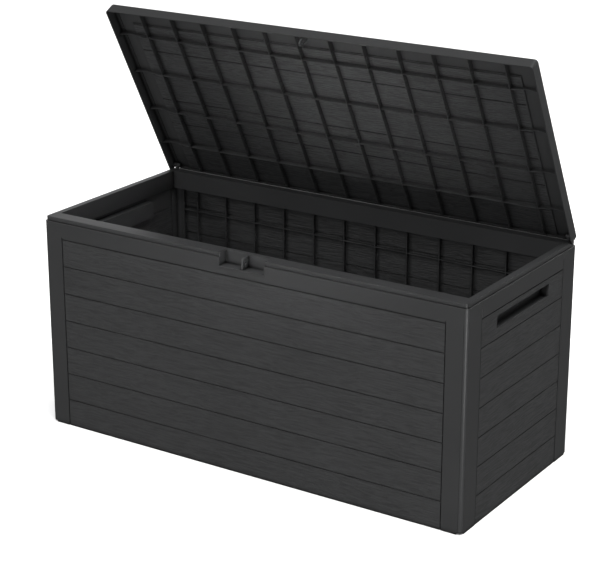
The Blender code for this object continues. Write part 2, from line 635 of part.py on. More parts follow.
def shape_lid_rear(shell, hinge):
    """Shortens and notches the rear skirt, rounds the side skirts' ends and adds the pin sockets."""
    inner = HALF_LENGTH - LID_SKIRT
    rear_inner = HALF_DEPTH - REAR_SKIRT_THICKNESS
    cut(shell, lid_boxes("lid_rear_trim", [((-inner, rear_inner - OVERCUT, LID_LOW - OVERCUT),
                                            (inner, HALF_DEPTH + OVERCUT, REAR_SKIRT_LOW))], hinge))
    notch_low = EAR_INNER - EAR_NOTCH_MARGIN
    notch_high = EAR_OUTER + EAR_NOTCH_MARGIN
    cut(shell, lid_boxes("lid_ear_notches", [
        ((side * notch_low, rear_inner - OVERCUT, LID_LOW - OVERCUT),
         (side * notch_high, HALF_DEPTH + OVERCUT, LID_BORDER_UNDERSIDE)) for side in (-1, 1)], hinge))
    swing = PIVOT_Z - LID_LOW
    last = math.degrees(math.asin(PIVOT_IN / swing))
    trim = [(swing * math.sin(math.radians(a)), -swing * math.cos(math.radians(a)))
            for a in (last * step / ARC_STEPS for step in range(ARC_STEPS + 1))]
    trim += [(PIVOT_IN + OVERCUT, trim[-1][1]), (PIVOT_IN + OVERCUT, -swing - OVERCUT), (0, -swing - OVERCUT)]
    reach = HALF_LENGTH + OVERCUT
    cut(shell, prism("lid_skirt_end_trim", [(-reach, y, z) for y, z in trim],
                     [(reach, y, z) for y, z in trim], hinge))
    for side, word in ((-1, "left"), (1, "right")):
        socket_face = EAR_OUTER + 2 * GAP
        boss_ends = sorted((side * socket_face, side * (HALF_LENGTH - LID_SKIRT / 2)))
        join(shell, rod_along("X", f"lid_{word}_socket", (0, 0), EAR_RADIUS, *boss_ends, hinge, EAR_SIDES))
        cut(shell, rod_along("X", f"lid_{word}_socket_bore", (0, 0), PIN_RADIUS + GAP,
                             *sorted((side * (socket_face - OVERCUT), side * PIN_SOCKET_END)), hinge))


def lock_eye(hinge):
    """Tab that hangs beside the staple when the lid is shut, with a hole in line with the staple's."""
    left = EYE_OFFSET - EYE_THICKNESS / 2
    right = EYE_OFFSET + EYE_THICKNESS / 2
    hole_y = -HALF_DEPTH + LOCK_HOLE_IN
    hole_z = WALL_HEIGHT - LOCK_HOLE_DROP
    high = LID_BORDER_UNDERSIDE - GAP
    outline = arc((hole_y, hole_z), EYE_RADIUS, 180, 360, 2 * ARC_STEPS)
    outline += [(hole_y + EYE_RADIUS, high), (hole_y - EYE_RADIUS, high)]
    eye = prism("lock_eye", in_hinge_frame([(left, y, z) for y, z in outline]),
                in_hinge_frame([(right, y, z) for y, z in outline]), hinge)
    base = ((left - EYE_BASE_HALF / 2, hole_y - EYE_RADIUS + GAP, high - EYE_BASE_THICKNESS),
            (right + EYE_BASE_HALF / 2, hole_y + EYE_BASE_HALF, high))
    join(eye, lid_boxes("lock_eye_base", [base], hinge))
    cut(eye, rod_along("X", "lock_eye_hole", (hole_y - PIVOT_Y, hole_z - PIVOT_Z), LOCK_HOLE_RADIUS,
                       left - OVERCUT, right + OVERCUT, hinge))
    finish(eye, PIN_GREY, SMOOTH_ROUGHNESS)


def cut_latch_opening(front_wall, front_rim):
    half = TRAY_HALF_WIDTH + GAP
    front = -HALF_DEPTH - OVERCUT
    cut(front_wall, boxes("latch_wall_opening", [((-half, front, WALL_HEIGHT - TRAY_DROP - GAP),
                                                  (half, -HALF_DEPTH + LONG_WALL_THICKNESS + OVERCUT,
                                                   WALL_HEIGHT + OVERCUT))]))
    cut(front_rim, boxes("latch_rim_opening", [((-half, front, WALL_HEIGHT - 2 * TRAY_DROP),
                                                (half, -HALF_DEPTH + TRAY_DEPTH + GAP, RIM_TOP + OVERCUT))]))


def add_recess_webs(front_wall, front_rim):
    """Stiffening webs on the wall at both ends of the recess, with room for them in the rim's tongue."""
    near = TRAY_HALF_WIDTH + 2 * GAP
    far = near + RIB_THICKNESS
    low = WALL_HEIGHT - TRAY_DROP - RECESS_WEB_FOOT
    webs = [
        ((side * near, -HALF_DEPTH + WALL_SKIN / 2, low),
         (side * far, -HALF_DEPTH + RECESS_WEB_DEPTH, WALL_HEIGHT - GAP))
        for side in (-1, 1)
    ]
    join(front_wall, boxes("recess_webs", webs))
    tongue_y = -HALF_DEPTH + LONG_WALL_THICKNESS
    room = ((-far - 2 * GAP, tongue_y - GAP, low), (far + 2 * GAP, tongue_y + OVERCUT, WALL_HEIGHT + GAP))
    cut(front_rim, boxes("recess_web_room", [room]))


def cut_ear_slots(rear_rim):
    slots = [
        ((side * (EAR_INNER - GAP), HALF_DEPTH - EAR_STEM_FRONT - GAP, RIM_TOP - RIM_SKIN - OVERCUT / 2),
         (side * (EAR_OUTER + GAP), HALF_DEPTH - EAR_STEM_REAR + GAP, RIM_TOP + OVERCUT))
        for side in (-1, 1)
    ]
    cut(rear_rim, boxes("ear_slots", slots))


def build():
    clear_scene()
    front_wall = long_wall("front_wall", -1)
    rear_wall = long_wall("rear_wall", 1)
    floor_panel()
    front_rim = long_rim("front_rim", -1, FRONT_RIM_WIDTH)
    rear_rim = long_rim("rear_rim", 1, REAR_RIM_WIDTH)
    cut_latch_opening(front_wall, front_rim)
    add_recess_webs(front_wall, front_rim)
    cut_ear_slots(rear_rim)
    latch_tray()
    lock_staple()
    hinge = lid_frame()
    lid_shell(hinge)
    lock_eye(hinge)
    for side, word in ((-1, "left"), (1, "right")):
        side_wall(f"{word}_wall", side)
        side_rim(f"{word}_rim", side)
        handle_cup(f"{word}_handle_cup", side)
        corner_post(f"front_{word}_corner_post", side, -1)
        corner_post(f"rear_{word}_corner_post", side, 1)
        hinge_bracket(f"{word}_hinge_bracket", side)
        hinge_pin(f"{word}_hinge_pin", side)
        hinge_screws(f"{word}_hinge", side, rear_wall)


build()
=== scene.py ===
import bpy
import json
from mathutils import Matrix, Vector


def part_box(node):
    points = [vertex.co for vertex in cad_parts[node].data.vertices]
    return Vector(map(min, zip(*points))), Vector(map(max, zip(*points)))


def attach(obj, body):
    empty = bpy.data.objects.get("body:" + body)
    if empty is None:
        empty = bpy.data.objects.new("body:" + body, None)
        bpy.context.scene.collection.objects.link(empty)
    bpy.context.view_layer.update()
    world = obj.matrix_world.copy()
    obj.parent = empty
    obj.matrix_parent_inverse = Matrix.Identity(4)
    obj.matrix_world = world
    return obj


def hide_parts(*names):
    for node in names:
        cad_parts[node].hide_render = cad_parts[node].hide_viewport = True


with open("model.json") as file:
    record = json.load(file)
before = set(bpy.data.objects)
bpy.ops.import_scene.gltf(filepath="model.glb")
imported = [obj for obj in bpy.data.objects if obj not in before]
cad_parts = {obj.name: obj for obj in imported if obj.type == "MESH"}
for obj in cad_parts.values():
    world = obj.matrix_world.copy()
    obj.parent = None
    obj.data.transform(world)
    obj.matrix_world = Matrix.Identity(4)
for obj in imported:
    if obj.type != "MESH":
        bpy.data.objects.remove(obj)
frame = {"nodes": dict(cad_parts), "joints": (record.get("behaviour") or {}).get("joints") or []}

"""Deck storage box: the looks.

Boarded walls and the ribbed lid are built as relief shells, in which a piece's two faces are height functions
over one grid. Small mouldings take their CAD shape and get rounded edges. Everything is moulded anthracite
plastic: boards have an embossed wood grain, and frames and rims a fine speckled texture.
"""

import json
import math

import bmesh
import bpy
import numpy as np
from mathutils import Vector

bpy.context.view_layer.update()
HINGE = next(joint for joint in frame["joints"] if joint["name"] == "lid_hinge")
PIVOT_Y, PIVOT_Z = HINGE["pos_m"][1:]
LID_ANGLE = -math.radians(HINGE["range_deg"][0])

# Sizes read from the frame
WALL_LOW, WALL_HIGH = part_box("front_wall")
REAR_LOW, REAR_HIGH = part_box("rear_wall")
POST_LOW, POST_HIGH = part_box("front_right_corner_post")
SIDE_LOW, SIDE_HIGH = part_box("right_wall")
RIM_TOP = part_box("front_rim")[1].z
TRAY_LOW, TRAY_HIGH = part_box("latch_tray")
CUP_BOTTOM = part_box("right_handle_cup")[0].z
HALF_LENGTH = POST_HIGH.x
HALF_DEPTH = -POST_LOW.y
WALL_TOP = WALL_HIGH.z
GAP = 0.0003

# Wall panels
LONG_WALL_THICKNESS = REAR_HIGH.y - REAR_LOW.y
SIDE_WALL_THICKNESS = SIDE_HIGH.x - SIDE_LOW.x
WALL_SKIN = 0.0035
TOP_RAIL = 0.041
FRONT_STILE = 0.053
SIDE_STILE = 0.066
BOARD_COUNT = 7
BOARD_PITCH = (WALL_TOP - TOP_RAIL) / BOARD_COUNT
BOARD_DROP = 0.0008
GROOVE_DEPTH = 0.0025
GROOVE_WIDTH = 0.0028
GROOVE_LIP = 0.0004
EDGE_ROUND = 0.0014
POST_LEG = POST_HIGH.x - POST_LOW.x
FOOT_LIFT = POST_LOW.z
RIB_THICKNESS = 0.003
WEB_NEAR = TRAY_HIGH.x + 2 * GAP
WEB_FAR = WEB_NEAR + RIB_THICKNESS
WEB_LOW = TRAY_LOW.z - 0.012
WEB_DEPTH = WALL_HIGH.y - WALL_LOW.y - WALL_SKIN
WALL_RIBS = 12
WALL_RIB_FIRST = 0.068
WALL_RIB_PITCH = 0.0782
SHELF_FIRST = 0.205
SHELF_PITCH = 0.182
SHELVES = 5
INNER_TOP_RAIL = 0.030
INNER_BOTTOM_RAIL = 0.010
INNER_SIDE_RAIL = 0.006
INNER_LINE_FIRST = RIM_TOP - 0.193 * WALL_TOP
INNER_LINE_DEPTH = 0.0022
INNER_LINE_WIDTH = 0.0030
SLOT_HALF_LENGTH = 0.130
SLOT_HIGH = 0.488
SLOT_LOW = 0.457
SLOT_ROUND = 0.0014

# Lid
LID_LOW = WALL_TOP + 0.0005
LID_TOP = WALL_TOP + 0.030
LID_SKIRT = 0.0027
LID_CORNER = 0.009
LID_EDGE_ROUND = 0.0032
LID_BORDER = 0.053
LID_BORDER_UNDER = LID_TOP - 0.0025
LID_PANEL_UNDER = LID_TOP - 0.0055
LID_RIB_LOW = WALL_TOP + 0.0125
LID_BOARD_PITCH = 0.150 * 2 * HALF_DEPTH
LID_BOARDS = 6
LID_RIBS = 12
LID_RIB_FIRST = 0.079
LID_RIB_PITCH = 0.0777
CROSS_RIBS = (0.157, 0.380, 0.613, 0.828)
REAR_SKIRT_LOW = WALL_TOP + 0.018
REAR_SKIRT_THICKNESS = 0.003
SKIRT_FOOT = np.array([0, 0.0006])
RIB_REAR_CLEARANCE = 0.004
EAR_NOTCH = (0.5785, 0.5875)
END_BAY_SCOOP = 0.5
LEDGE_IN = 0.014
LEDGE_HEIGHT = 0.0016
LEDGE_WIDTH = 0.0014
SOCKET_RADIUS = 0.0055
SOCKET_BORE = 0.0031
SOCKET_END = 0.5985

# Attributes that the materials read
GRAIN = "grain"
BOARD = "board"

# Plastics
ANTHRACITE = (0.0230, 0.0234, 0.0240)
RIM_GREY = (0.0265, 0.0269, 0.0276)
PIN_GREY = (0.036, 0.037, 0.038)
ZINC = (0.42, 0.42, 0.43)
BOARD_ROUGHNESS = 0.50
RIM_ROUGHNESS = 0.42
PIN_ROUGHNESS = 0.38
ZINC_ROUGHNESS = 0.34
SPECULAR = 0.25
# Painted shade in grooves and inside corners: the darkest colour factor and the reach of the occlusion
DARKEST_PAINTED_SHADE = 0.05
PAINTED_SHADE_REACH = 0.012
GRAIN_ALONG = 15.0
GRAIN_ACROSS = 330.0
GRAIN_RELIEF = 0.0010
OUTER_GRAIN = 0.62
SPECKLE_SHARE = 0.18
WAVE = 0.014

# Camera, fitted to the box's and the lid's corners together
CAMERA_LENS = 111.01
CAMERA_PLACE = (2.3621, -3.6191, 1.9139)
CAMERA_PITCH = 19.32
CAMERA_HEADING = 33.29


# ---------------------------------------------------------------- relief shells

def lines(*groups):
    """Sorted grid lines, with near-duplicates dropped."""
    values = np.unique(np.concatenate([np.atleast_1d(np.asarray(group, float)) for group in groups]))
    keep = [values[0]]
    for value in values[1:]:
        if value - keep[-1] > 2e-5:
            keep.append(value)
    return np.array(keep)


def clipped(groups, low, high):
    """Grid lines of several groups, none of them outside low to high."""
    return lines(np.clip(np.concatenate([np.atleast_1d(group) for group in groups]), low, high))


def even(low, high, step):
    return np.linspace(low, high, max(2, int(round((high - low) / step)) + 1))


def groove_lines(centre, width=GROOVE_WIDTH, lip=GROOVE_LIP):
    """Grid lines across a groove: rounded lips, sloping sides and a flat bottom."""
    half = width / 2
    return centre + np.array([-half - lip, -half - lip * 0.45, -half, -half * 0.72, -half * 0.3,
                              half * 0.3, half * 0.72, half, half + lip * 0.45, half + lip])


def groove(distance, depth=GROOVE_DEPTH, width=GROOVE_WIDTH, lip=GROOVE_LIP):
    """Depth of a groove at a distance from its middle line."""
    half = width / 2
    xs = [0, half * 0.3, half * 0.72, half, half + lip * 0.45, half + lip]
    ys = [depth, depth, depth * 0.86, depth * 0.28, depth * 0.08, 0]
    return np.interp(np.abs(distance), xs, ys)


def rib_lines(centre, thickness=RIB_THICKNESS, fillet=0.0012):
    half = thickness / 2
    return centre + np.array([-half - fillet, -half - fillet * 0.4, -half, -half * 0.82, -half * 0.5,
                              half * 0.5, half * 0.82, half, half + fillet * 0.4, half + fillet])


def rib(distance, height, thickness=RIB_THICKNESS, fillet=0.0012):
    """Height of a drafted rib, with a fillet at its foot and a rounded top."""
    half = thickness / 2
    xs = [0, half * 0.5, half * 0.82, half, half + fillet * 0.4, half + fillet]
    ys = [1, 1, 0.955, 0.14, 0.035, 0]
    return height * np.interp(np.abs(distance), xs, ys)


def step_lines(edge, side, rise=0.0006):
    """Grid lines over a rounded step that climbs from edge towards side."""
    return edge + side * np.array([-rise, -rise * 0.3, 0, rise * 0.2, rise * 0.6, rise * 1.4])


def ramp(distance, height, rise=0.0006):
    """A step: 0 before -rise, height after 1.4 rise, with rounded ends."""
    return height * np.interp(distance, [-rise, -rise * 0.3, 0, rise * 0.2, rise * 0.6, rise * 1.4],
                              [0, 0.06, 0.45, 0.86, 0.97, 1])


def relief(name, us, vs, outer, inner, place, present=None, grain=None, board=None, warp=None):
    """A closed shell between two height functions over the grid us x vs.

    outer(U, V) and inner(U, V) give depths, and place(U, V, D) turns them into world points. present(U, V)
    says which cells exist. grain and board give each cell's attributes on (outer, inner). warp(U, V) moves
    the grid's points in plan.
    """
    grid_u, grid_v = np.meshgrid(us, vs, indexing="ij")
    mid_u, mid_v = np.meshgrid((us[1:] + us[:-1]) / 2, (vs[1:] + vs[:-1]) / 2, indexing="ij")
    there = np.ones(mid_u.shape, bool) if present is None else present(mid_u, mid_v)
    flat_u, flat_v = warp(grid_u, grid_v) if warp else (grid_u, grid_v)
    outer_points = place(flat_u, flat_v, outer(grid_u, grid_v)).reshape(-1, 3)
    inner_points = place(flat_u, flat_v, inner(grid_u, grid_v)).reshape(-1, 3)
    count = len(outer_points)
    index = np.arange(count).reshape(grid_u.shape)
    corners = (index[:-1, :-1], index[1:, :-1], index[1:, 1:], index[:-1, 1:])
    top = np.stack([corner[there] for corner in corners], -1)
    faces = [top, top[:, ::-1] + count]
    outer_cells, inner_cells = cell_values(grain, there, mid_u, mid_v)
    grains = [outer_cells, inner_cells]
    outer_cells, inner_cells = cell_values(board, there, mid_u, mid_v)
    boards = [outer_cells, inner_cells]
    padded = np.pad(there, 1)
    for shift_u, shift_v, first, second in ((-1, 0, 3, 0), (1, 0, 1, 2), (0, -1, 0, 1), (0, 1, 2, 3)):
        last_u, last_v = padded.shape[0] - 1 + shift_u, padded.shape[1] - 1 + shift_v
        neighbour = padded[1 + shift_u:last_u, 1 + shift_v:last_v]
        edge = there & ~neighbour
        a, b = corners[first][edge], corners[second][edge]
        faces.append(np.stack([b, a, a + count, b + count], -1))
        grains.append(np.zeros(len(a)))
        boards.append(np.zeros(len(a)))
    return mesh_object(name, np.concatenate([outer_points, inner_points]), np.concatenate(faces),
                       np.concatenate(grains), np.concatenate(boards))


def cell_values(rules, there, mid_u, mid_v):
    if rules is None:
        return np.zeros(there.sum()), np.zeros(there.sum())
    return tuple(np.broadcast_to(rule(mid_u, mid_v), there.shape)[there].astype(float) for rule in rules)


def mesh_object(name, points, faces, grains, boards):
    used, inverse = np.unique(faces, return_inverse=True)
    mesh = bpy.data.meshes.new(name)
    mesh.from_pydata(points[used].tolist(), [], inverse.reshape(faces.shape).tolist())
    for attribute, values in ((GRAIN, grains), (BOARD, boards)):
        layer = mesh.attributes.new(attribute, "FLOAT", "FACE")
        layer.data.foreach_set("value", values.astype(np.float32))
    shape = bmesh.new()
    shape.from_mesh(mesh)
    bmesh.ops.recalc_face_normals(shape, faces=shape.faces)
    shape.to_mesh(mesh)
    shape.free()
    mesh.shade_smooth()
    mesh.set_sharp_from_angle(angle=math.radians(50))
    piece = bpy.data.objects.new(name, mesh)
    bpy.context.scene.collection.objects.link(piece)
    flats = piece.modifiers.new("flats", "WEIGHTED_NORMAL")
    flats.keep_sharp = True
    return piece


def edge_round(distance, radius):
    """Depth lost to a rounded edge at a distance in from it."""
    inside = np.clip(radius - distance, 0, radius)
    return radius - np.sqrt(np.maximum(radius * radius - inside * inside, 0))


def edge_lines(low, high, radius):
    steps = radius * (1 - np.cos(np.radians([0, 22, 42, 62, 90])))
    return np.concatenate([low + steps, high - steps])


def grain_number(values, seed):
    """A repeatable number from 0 to 1 for each board or bay."""
    return np.modf(np.abs(np.sin(values * 12.9898 + seed * 78.233) * 43758.5453))[0]


# ---------------------------------------------------------------- walls

def board_levels():
    """Heights of the lines between the boards, from the top one down."""
    return [WALL_TOP - TOP_RAIL - BOARD_PITCH * index for index in range(BOARD_COUNT)]


def boarded_face(half_region, half_width):
    """Depth function and grid lines of a wall's outer face."""
    upright = half_region - GROOVE_WIDTH / 2
    top = WALL_TOP - TOP_RAIL - GROOVE_WIDTH / 2
    levels = [top, *board_levels()[1:]]

    def outer(u, v):
        across = np.abs(u)
        inside = (across < upright) & (v < top)
        depth = np.where(inside, BOARD_DROP, 0.0)
        depth = np.maximum(depth, np.where(v <= top + GROOVE_WIDTH, groove(across - upright), 0))
        for level in levels:
            depth = np.maximum(depth, np.where(across <= upright + GROOVE_WIDTH / 2, groove(v - level), 0))
        depth = np.maximum(depth, edge_round(WALL_TOP - v, EDGE_ROUND))
        return np.maximum(depth, edge_round(half_width - across, GAP))

    u_lines = [groove_lines(side * upright) for side in (-1, 1)]
    u_lines.append(edge_lines(-half_width, half_width, GAP))
    v_lines = [groove_lines(level) for level in levels]
    v_lines += [WALL_TOP - EDGE_ROUND * np.array([0, 0.1, 0.3, 0.6, 1.0]), [0.0, FOOT_LIFT]]
    return outer, u_lines, v_lines


def board_number(v):
    return np.floor((WALL_TOP - TOP_RAIL - v) / BOARD_PITCH)


def inner_lines():
    """Heights of the thin lines on the inner faces, one to a board."""
    found = [INNER_LINE_FIRST - BOARD_PITCH * index for index in range(BOARD_COUNT)]
    return [line for line in found if line > INNER_BOTTOM_RAIL + INNER_LINE_WIDTH]


def line_depth(v):
    cut = np.zeros_like(v)
    for line in inner_lines():
        cut = np.maximum(cut, groove(v - line, INNER_LINE_DEPTH, INNER_LINE_WIDTH, GAP))
    return cut


def foot_missing(u, v, half_width):
    return (np.abs(u) > half_width - FOOT_LIFT) & (v < FOOT_LIFT)


def long_wall(node, side, seed):
    """Front or rear wall: boards outside, a grid of ribs inside, and the latch opening in the front one."""
    half = WALL_HIGH.x
    lap = HALF_LENGTH - POST_LEG - GAP
    pocket = lap - INNER_SIDE_RAIL
    ribs = [-HALF_LENGTH + 2 * HALF_LENGTH * (WALL_RIB_FIRST + WALL_RIB_PITCH * i) for i in range(WALL_RIBS)]
    shelves = [RIM_TOP - WALL_TOP * (SHELF_FIRST + SHELF_PITCH * i) for i in range(SHELVES)]
    depth = LONG_WALL_THICKNESS - WALL_SKIN
    rail_low = WALL_TOP - INNER_TOP_RAIL
    outer, u_lines, v_lines = boarded_face(HALF_LENGTH - FRONT_STILE, half)

    def inner(u, v):
        raised = ramp(v - rail_low, depth)
        raised = np.maximum(raised, ramp(INNER_BOTTOM_RAIL - v, depth))
        raised = np.maximum(raised, ramp(np.abs(u) - pocket, depth))
        for centre in ribs:
            raised = np.maximum(raised, rib(u - centre, depth))
        for centre in shelves:
            raised = np.maximum(raised, rib(v - centre, depth))
        raised = np.where(np.abs(u) > lap - GAP / 2, 0, raised)
        if side < 0:
            web = (np.abs(u) > WEB_NEAR) & (np.abs(u) < WEB_FAR) & (v > WEB_LOW) & (v < WALL_TOP - GAP / 2)
            raised = np.where(web, WEB_DEPTH, raised)
        return WALL_SKIN + raised - np.where(raised < GAP, line_depth(v), 0)

    notch_half = TRAY_HIGH.x + GAP
    notch_low = TRAY_LOW.z - GAP

    def present(u, v):
        gone = foot_missing(u, v, half)
        if side < 0:
            gone |= (np.abs(u) < notch_half) & (v > notch_low)
        return ~gone

    u_lines += [rib_lines(centre) for centre in ribs]
    u_lines += [step_lines(s * pocket, s) for s in (-1, 1)]
    u_lines += [[s * lap, s * (lap - GAP), s * (half - FOOT_LIFT)] for s in (-1, 1)]
    v_lines += [rib_lines(centre) for centre in shelves]
    v_lines += [step_lines(rail_low, 1), step_lines(INNER_BOTTOM_RAIL, -1)]
    v_lines += [groove_lines(line, INNER_LINE_WIDTH, GAP) for line in inner_lines()]
    if side < 0:
        u_lines += [[-notch_half, notch_half]]
        v_lines += [[notch_low, WEB_LOW, WEB_LOW + GAP / 3, WALL_TOP - GAP]]
        u_lines += [s * np.array([WEB_NEAR, WEB_NEAR + GAP / 3, WEB_FAR - GAP / 3, WEB_FAR]) for s in (-1, 1)]
    us = clipped(u_lines, -half, half)
    vs = clipped(v_lines, 0, WALL_TOP)
    boards_half = HALF_LENGTH - FRONT_STILE - GROOVE_WIDTH
    boards_top = WALL_TOP - TOP_RAIL - GROOVE_WIDTH
    grain = (lambda u, v: OUTER_GRAIN * ((np.abs(u) < boards_half) & (v < boards_top)),
             lambda u, v: (np.abs(u) < pocket) & (v < rail_low))
    board = (lambda u, v: grain_number(board_number(v), seed),
             lambda u, v: grain_number(board_number(v), seed + 5))
    place = (lambda u, v, d: np.stack([u, side * (HALF_DEPTH - d), v], -1))
    wall = relief(node + "_panel", us, vs, outer, inner, place, present, grain, board)
    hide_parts(node)
    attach(wall, "box")
    paint(wall, GRAINED_X)


def side_wall(node, side, seed):
    """Left or right wall, with the finger slot through its first board."""
    half = SIDE_HIGH.y
    lap = HALF_DEPTH - POST_LEG - GAP
    slot_half = SLOT_HALF_LENGTH
    outer_face, u_lines, v_lines = boarded_face(HALF_DEPTH - SIDE_STILE, half)

    def to_slot(u, v):
        """Distance outside the slot's edge."""
        return np.maximum.reduce([np.abs(u) - slot_half, SLOT_LOW - v, v - SLOT_HIGH])

    def outer(u, v):
        return np.maximum(outer_face(u, v), edge_round(np.maximum(to_slot(u, v), 0), SLOT_ROUND))

    def inner(u, v):
        thick = np.where(np.abs(u) > lap - GAP / 2, WALL_SKIN, SIDE_WALL_THICKNESS)
        return thick - np.where((np.abs(u) < lap - GAP) & (v < SLOT_LOW), line_depth(v), 0)

    u_lines += [[s * lap, s * (lap - GAP), s * (half - FOOT_LIFT)] for s in (-1, 1)]
    rounding = SLOT_ROUND * np.array([0, 0.08, 0.3, 0.6, 1.0])
    u_lines += [s * (slot_half + rounding) for s in (-1, 1)]
    v_lines += [SLOT_HIGH + rounding, SLOT_LOW - rounding]
    v_lines += [groove_lines(line, INNER_LINE_WIDTH, GAP) for line in inner_lines()]
    us = clipped(u_lines, -half, half)
    vs = clipped(v_lines, 0, WALL_TOP)
    present = (lambda u, v: ~foot_missing(u, v, half) & (to_slot(u, v) > 0))
    boards_half = HALF_DEPTH - SIDE_STILE - GROOVE_WIDTH
    boards_top = WALL_TOP - TOP_RAIL - GROOVE_WIDTH
    grain = (lambda u, v: OUTER_GRAIN * ((np.abs(u) < boards_half) & (v < boards_top)),
             lambda u, v: (np.abs(u) < lap) & (v < CUP_BOTTOM))
    board = (lambda u, v: grain_number(board_number(v), seed),
             lambda u, v: grain_number(board_number(v), seed + 5))
    place = (lambda u, v, d: np.stack([side * (HALF_LENGTH - d), u, v], -1))
    wall = relief(node + "_panel", us, vs, outer, inner, place, present, grain, board)
    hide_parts(node)
    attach(wall, "box")
    paint(wall, GRAINED_Y)


# ---------------------------------------------------------------- lid

def opened(points):
    """Turns points of the shut lid about the hinge to where the lid stands at rest."""
    y = points[..., 1] - PIVOT_Y
    z = points[..., 2] - PIVOT_Z
    cosine, sine = math.cos(LID_ANGLE), math.sin(LID_ANGLE)
    return np.stack([points[..., 0], PIVOT_Y + y * cosine + z * sine, PIVOT_Z - y * sine + z * cosine], -1)


def round_corners(u, v):
    """Draws the grid's corner squares in to quarter discs."""
    centre_u, centre_v = HALF_LENGTH - LID_CORNER, HALF_DEPTH - LID_CORNER
    a = np.clip(np.abs(u) - centre_u, 0, None) / LID_CORNER
    b = np.clip(np.abs(v) - centre_v, 0, None) / LID_CORNER
    scale = np.where((a > 0) & (b > 0), np.maximum(a, b) / np.maximum(np.hypot(a, b), 1e-12), 1)
    new_u = np.where(a > 0, np.sign(u) * (centre_u + a * scale * LID_CORNER), u)
    new_v = np.where(b > 0, np.sign(v) * (centre_v + b * scale * LID_CORNER), v)
    return new_u, new_v


